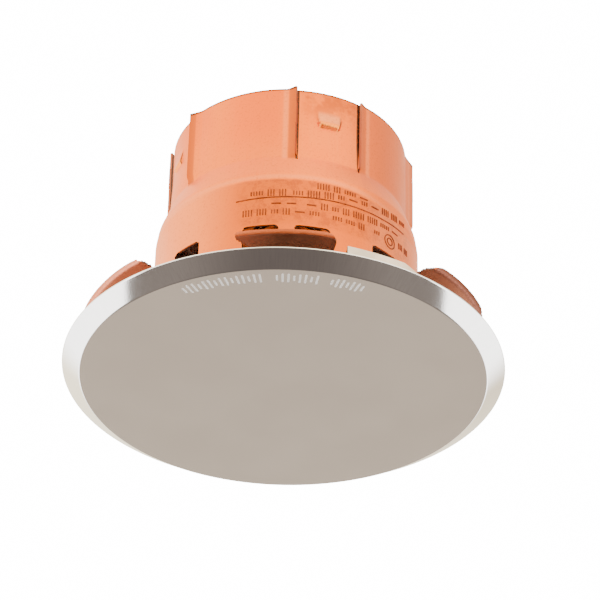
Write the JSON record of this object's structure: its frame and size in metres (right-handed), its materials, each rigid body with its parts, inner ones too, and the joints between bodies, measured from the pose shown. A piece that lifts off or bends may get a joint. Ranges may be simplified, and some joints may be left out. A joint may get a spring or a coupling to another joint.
{
  "type": "concealed fire sprinkler head",
  "caption": "Concealed pendent fire sprinkler head: bulb-operated body with drop-down deflector inside a slit sheet-metal retainer that carries a round cover plate.",
  "frame": {"origin": "centre of the cover plate's flat lower face", "axes": "+Z along the head's axis, from the cover plate up to the threaded inlet; -Y is the side with the clear arc of the barrel beside a finger"},
  "size_m": [0.084, 0.084, 0.0615],
  "materials": {
    "plate_metal": "satin plated",
    "copper_sheet": "bare stamped copper",
    "spring_steel": "bright",
    "body_brass": "cast and machined",
    "turned_brass": "machined",
    "zinc_steel": "plated",
    "bronze": "stamped",
    "solder_alloy": "dull",
    "bulb_glass": "clear with red liquid"
  },
  "bodies": {
    "body": {"sprinkler_body": "body_brass", "support_ring": "zinc_steel", "lock_nut": "turned_brass", "load_screw": "turned_brass", "glass_bulb": "bulb_glass"},
    "retainer": {"retainer": "copper_sheet", "spring_rivet_1": "zinc_steel", "spring_rivet_2": "zinc_steel", "spring_rivet_3": "zinc_steel", "solder_joint_1": "solder_alloy", "solder_joint_2": "solder_alloy", "solder_joint_3": "solder_alloy"},
    "spring_1": {"ejector_spring_1": "spring_steel"},
    "spring_2": {"ejector_spring_2": "spring_steel"},
    "spring_3": {"ejector_spring_3": "spring_steel"},
    "cover": {"cover_plate": "plate_metal"},
    "deflector": {"deflector": "bronze", "guide_pin_left": "zinc_steel", "guide_pin_right": "zinc_steel", "pin_stop_left": "zinc_steel", "pin_stop_right": "zinc_steel"},
    "valve": {"valve_cap": "turned_brass", "disc_spring": "spring_steel"}
  },
  "joints": [
    {"name": "retainer_adjust", "type": "slide", "parent": "body", "child": "retainer", "axis": [0, 0, -1], "range_m": [0, 0.0127]},
    {"name": "cover_plate_drop", "type": "slide", "parent": "retainer", "child": "cover", "axis": [0, 0, -1], "range_m": [0, 0.06]},
    {"name": "deflector_drop", "type": "slide", "parent": "body", "child": "deflector", "axis": [0, 0, -1], "range_m": [0, 0.014]},
    {"name": "valve_release", "type": "slide", "parent": "body", "child": "valve", "axis": [0, 0, -1], "range_m": [0, 0.012], "deforming": ["glass_bulb"]},
    {"name": "spring_1_flex", "type": "hinge", "parent": "retainer", "child": "spring_1", "pos_m": [0.00896, -0.02441, 0.0043], "axis": [0.9387, 0.3446, 0], "range_deg": [0, 5]},
    {"name": "spring_2_flex", "type": "hinge", "parent": "retainer", "child": "spring_2", "pos_m": [0.01666, 0.01996, 0.0043], "axis": [-0.7678, 0.6407, 0], "range_deg": [0, 5]},
    {"name": "spring_3_flex", "type": "hinge", "parent": "retainer", "child": "spring_3", "pos_m": [-0.02562, 0.00444, 0.0043], "axis": [-0.1709, -0.9853, 0], "range_deg": [0, 5]}
  ],
  "couplings": [
    {"joint": "deflector_drop", "follows": "cover_plate_drop", "ratio": 0.23333},
    {"joint": "spring_1_flex", "follows": "cover_plate_drop", "rad_per_m": 1.4544},
    {"joint": "spring_2_flex", "follows": "cover_plate_drop", "rad_per_m": 1.4544},
    {"joint": "spring_3_flex", "follows": "cover_plate_drop", "rad_per_m": 1.4544}
  ]
}
